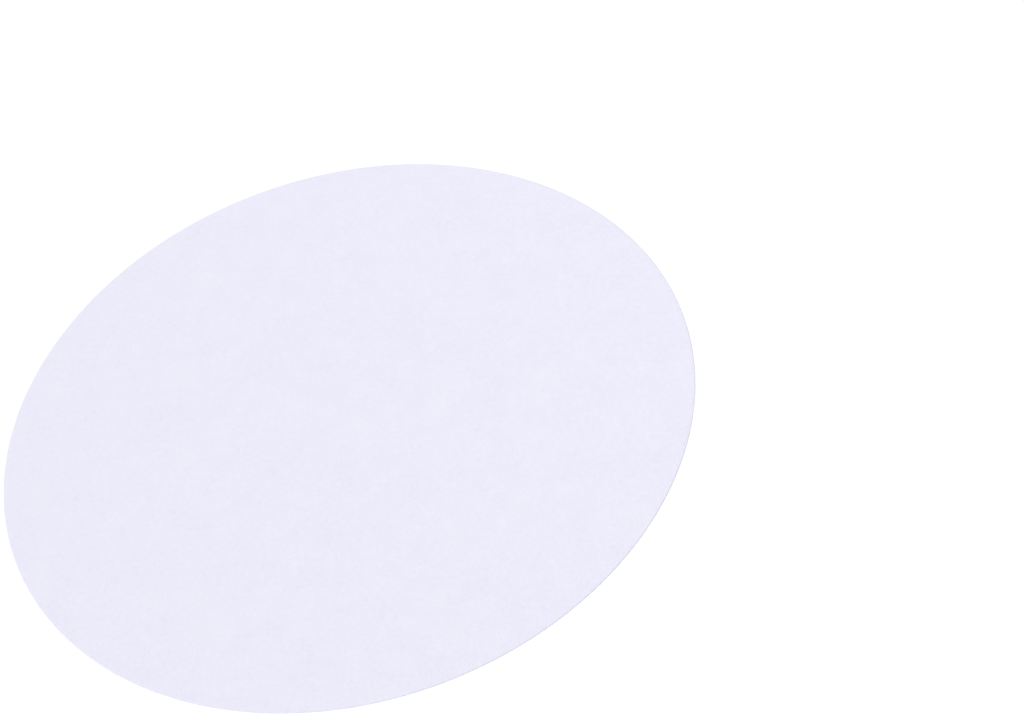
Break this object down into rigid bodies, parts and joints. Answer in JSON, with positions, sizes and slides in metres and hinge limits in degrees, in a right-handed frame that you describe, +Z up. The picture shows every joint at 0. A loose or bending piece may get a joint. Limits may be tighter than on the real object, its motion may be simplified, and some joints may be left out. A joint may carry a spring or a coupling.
{
  "type": "filter paper disc",
  "caption": "Round flat sheet of plain white filter paper with a punched rim, laid on a funnel's plate or folded into a cone to strain solids from a liquid.",
  "frame": {"origin": "centre of the underside, on the surface that the disc lies on", "axes": "+Z up through the sheet and out of its upper, filtering side; the disc is round, so X and Y are free"},
  "size_m": [0.125, 0.125, 0.0002],
  "materials": {
    "filter_paper": "uncoated and matt, faintly clouded by its fibres"
  },
  "bodies": {
    "root": {"filter_disc": "filter_paper"}
  },
  "joints": []
}
